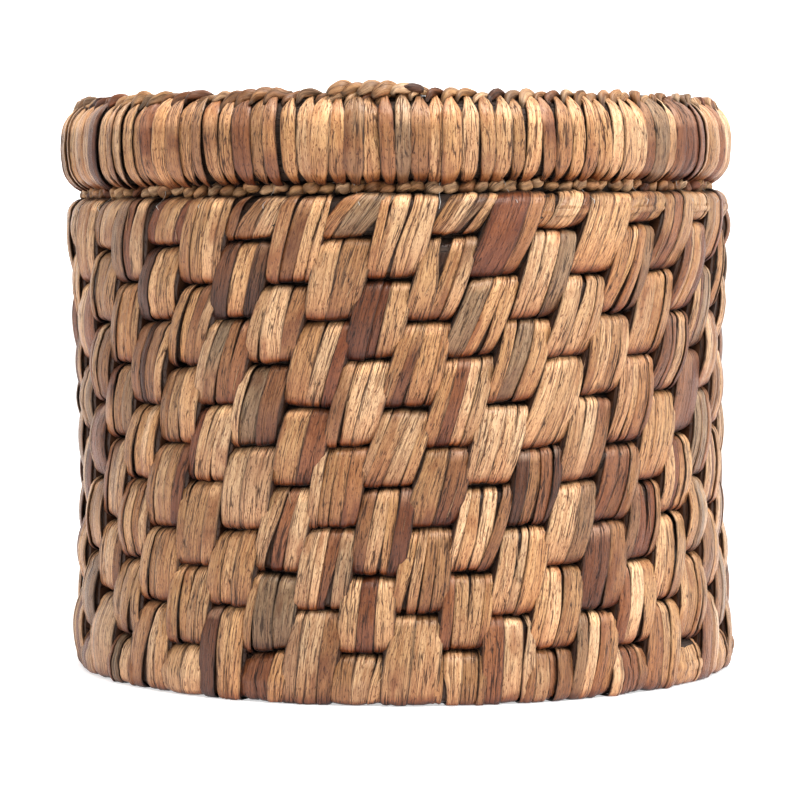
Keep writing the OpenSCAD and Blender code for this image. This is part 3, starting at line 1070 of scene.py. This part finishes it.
class BASKET_OT_braids(bpy.types.Operator):
    """Plaits the braid on the rim's top edge, its overlapped end, and the braid in the seam"""
    bl_idname = "basket.braids"
    bl_label = "Braids"

    def execute(self, context):
        s = sizes()
        rng = random.Random(s.seed + 51)
        top = Build()
        radius = s.outer_radius - s.rim_thickness / 2 + 4 * MM
        lay_braid(top, rng, radius, RIM_TOP - 0.6 * MM, (3.5 * MM, 3.0 * MM), TOP_KNOT, 0, s.rim_strips,
                  0.8 * MM, 0.05)
        finish_piece(top, "plait_of_rim_top", braid_leaf(), ["rim_top_braid"])
        tail = Build()
        first = round(260 / 360 * s.rim_strips)
        lay_braid(tail, rng, radius + 1.5 * MM, RIM_TOP + 2.9 * MM, (3.8 * MM, 3.4 * MM), SECOND_KNOT, first, 5,
                  0.4 * MM, 0.1)
        end_turn = FULL_TURN / s.rim_strips
        lay_knot(tail, rng, end_turn * (first + 5.1), radius + 2 * MM, RIM_TOP + 2.6 * MM, end_turn * radius,
                 (3.4 * MM, 3.2 * MM), ((-0.5, 1 * MM, 0.6 * MM, 0.7), (0, 1 * MM, 0.6 * MM, 1.0),
                                        (0.5, 0.6 * MM, -0.4 * MM, 0.9), (0.75, 0, -1 * MM, 0.5)), tones().umber)
        finish_piece(tail, "plait_of_rim_braid_tail", braid_leaf(), ["rim_braid_tail"])
        seam = Build()
        radius = SEAM_HIGH.x - 0.8 * MM
        z = (SEAM_LOW.z + SEAM_HIGH.z) / 2 + 0.6 * MM
        lay_braid(seam, rng, radius, z, (3.4 * MM, 3.7 * MM), SEAM_KNOT, 0, s.rim_strips, 0.8 * MM, -0.12)
        finish_piece(seam, "plait_of_seam", braid_leaf(), ["seam_braid"])
        return {"FINISHED"}


class BASKET_OT_ties(bpy.types.Operator):
    """Sews the clear nylon ties over the seam braid and the top coil"""
    bl_idname = "basket.ties"
    bl_label = "Nylon Ties"

    def execute(self, context):
        s = sizes()
        rng = random.Random(s.seed + 71)
        build = Build()
        thread = 0.17 * MM
        seam_z = (SEAM_LOW.z + SEAM_HIGH.z) / 2
        for i in range(s.ties):
            turn = FULL_TURN * (i + 0.5) / s.ties + rng.uniform(-0.02, 0.02)
            drift = rng.uniform(-0.035, 0.035)
            outline = [(SEAM_HIGH.x - 1.0 * MM, seam_z + 5.5 * MM), (SEAM_HIGH.x + 2.2 * MM, seam_z + 3 * MM),
                       (SEAM_HIGH.x + 2.4 * MM, seam_z - 1 * MM), (SEAM_HIGH.x + 5.5 * MM, seam_z - 4 * MM),
                       (s.outer_radius - 1.2 * MM, seam_z - 8 * MM), (s.outer_radius - 4 * MM, seam_z - 12 * MM)]
            r = np.array([p[0] for p in outline])
            z = np.array([p[1] for p in outline])
            t = np.linspace(0, len(r) - 1, 30)
            r, z = np.interp(t, range(len(r)), r), np.interp(t, range(len(z)), z)
            a = np.arange(6) / 6 * FULL_TURN
            rings = []
            for j in range(len(t)):
                angle = turn + drift * j / len(t) + thread * np.sin(a) / r[j]
                rr = r[j] + thread * np.cos(a)
                rings.append(np.stack([rr * np.cos(angle), rr * np.sin(angle), np.full(6, z[j])], -1))
            build.tube(np.array(rings), t, a, (0.8, 0.8, 0.8), 1.0, False)
        finish_piece(build, "thread_of_nylon_ties", nylon_material(), ["nylon_ties"])
        return {"FINISHED"}


# ---- stage ----

FLOOR_REACH = 20
BACKDROP_AWAY = 9
BACKDROP_TOP = 12
BACKDROP_UNDER = 0.5
FLOOR_GLOW = 0.5
BACKDROP_GLOW = 1.0
ROOM_LIGHT = 0.12
AIM_HEIGHT = 0.17
# Name, place, size and power of each lamp
LAMPS = (
    ("front_softbox", (0.1, -2.6, 1.35), (3.0, 1.3), 10),
    ("key_softbox", (0.8, -1.1, 2.3), (1.0, 1.0), 47),
    ("top_softbox", (-0.1, -0.35, 2.4), (1.4, 1.4), 25),
    ("right_softbox", (2.3, -0.7, 1.0), (1.0, 1.6), 23),
    ("left_softbox", (-2.3, -0.7, 1.0), (1.0, 1.6), 12),
)


def plain_material(name, glow):
    """Matt white, with a little light of its own so that it stays white to its far edge."""
    made = bpy.data.materials.new(name)
    made.use_nodes = True
    shader = made.node_tree.nodes["Principled BSDF"]
    shader.inputs["Base Color"].default_value = (0.8, 0.8, 0.8, 1)
    shader.inputs["Roughness"].default_value = 0.9
    shader.inputs["Specular IOR Level"].default_value = 0.0
    shader.inputs["Emission Color"].default_value = (1, 1, 1, 1)
    shader.inputs["Emission Strength"].default_value = glow
    return made


class BASKET_OT_stage(bpy.types.Operator):
    """Sets the pale floor, the soft lights and the camera"""
    bl_idname = "basket.stage"
    bl_label = "Stage"

    def execute(self, context):
        reach, away, top, under = FLOOR_REACH, BACKDROP_AWAY, BACKDROP_TOP, -BACKDROP_UNDER
        self.sheet("floor", [(-reach, -reach, 0), (reach, -reach, 0), (reach, reach, 0), (-reach, reach, 0)],
                   FLOOR_GLOW)
        self.sheet("backdrop", [(-reach, away, under), (reach, away, under), (reach, away, top),
                                (-reach, away, top)], BACKDROP_GLOW)
        self.lights()
        self.camera()
        return {"FINISHED"}

    def sheet(self, name, corners, glow):
        mesh = bpy.data.meshes.new(name)
        mesh.from_pydata(corners, [], [(0, 1, 2, 3)])
        sheet = bpy.data.objects.new(name, mesh)
        bpy.context.collection.objects.link(sheet)
        mesh.materials.append(plain_material(f"{name}_white", glow))

    def lights(self):
        world = bpy.data.worlds.new("studio")
        bpy.context.scene.world = world
        world.use_nodes = True
        world.node_tree.nodes["Background"].inputs["Color"].default_value = (1, 1, 1, 1)
        world.node_tree.nodes["Background"].inputs["Strength"].default_value = ROOM_LIGHT
        for name, place, size, power in LAMPS:
            lamp = bpy.data.lights.new(name, "AREA")
            lamp.shape = "RECTANGLE"
            lamp.size, lamp.size_y = size
            lamp.energy = power
            lamp_object = bpy.data.objects.new(name, lamp)
            bpy.context.collection.objects.link(lamp_object)
            lamp_object.location = place
            aim = -lamp_object.location + Vector((0, 0, AIM_HEIGHT))
            lamp_object.rotation_euler = aim.to_track_quat("-Z", "Y").to_euler()

    def camera(self):
        settings = bpy.context.scene.basket_stage
        data = bpy.data.cameras.new("camera")
        data.lens = settings.lens
        data.sensor_width = 36
        data.clip_end = 100
        camera = bpy.data.objects.new("camera", data)
        bpy.context.collection.objects.link(camera)
        camera.location = (0, -settings.camera_distance, settings.camera_height)
        camera.rotation_euler = (math.pi / 2 - settings.camera_pitch, 0, 0)
        bpy.context.scene.camera = camera
        bpy.context.scene.view_settings.view_transform = "Standard"
        bpy.context.scene.view_settings.look = "Medium High Contrast"


STEPS = (BASKET_OT_stage, BASKET_OT_coils, BASKET_OT_wall_stitches, BASKET_OT_single_wraps, BASKET_OT_base,
         BASKET_OT_rim_roll, BASKET_OT_braids, BASKET_OT_ties)


class BASKET_PT_panel(bpy.types.Panel):
    """Lists the basket's settings and building steps"""
    bl_idname = "BASKET_PT_panel"
    bl_label = "Seagrass Basket"
    bl_space_type = "VIEW_3D"
    bl_region_type = "UI"
    bl_category = "Basket"

    def draw(self, context):
        for group in (context.scene.basket_sizes, context.scene.basket_tones, context.scene.basket_stage):
            box = self.layout.box()
            for name in group.__annotations__:
                box.prop(group, name)
        for step in STEPS:
            self.layout.operator(step.bl_idname)


CLASSES = (BasketSizes, BasketTones, StageSettings, *STEPS, BASKET_PT_panel)


def register():
    for made in CLASSES:
        bpy.utils.register_class(made)
    bpy.types.Scene.basket_sizes = bpy.props.PointerProperty(type=BasketSizes)
    bpy.types.Scene.basket_tones = bpy.props.PointerProperty(type=BasketTones)
    bpy.types.Scene.basket_stage = bpy.props.PointerProperty(type=StageSettings)


def unregister():
    del bpy.types.Scene.basket_stage
    del bpy.types.Scene.basket_tones
    del bpy.types.Scene.basket_sizes
    for made in reversed(CLASSES):
        bpy.utils.unregister_class(made)


def main():
    register()
    bpy.ops.basket.stage()
    bpy.ops.basket.coils()
    bpy.ops.basket.wall_stitches()
    bpy.ops.basket.single_wraps()
    bpy.ops.basket.base()
    bpy.ops.basket.rim_roll()
    bpy.ops.basket.braids()
    bpy.ops.basket.ties()


if __name__ == "__main__":
    main()
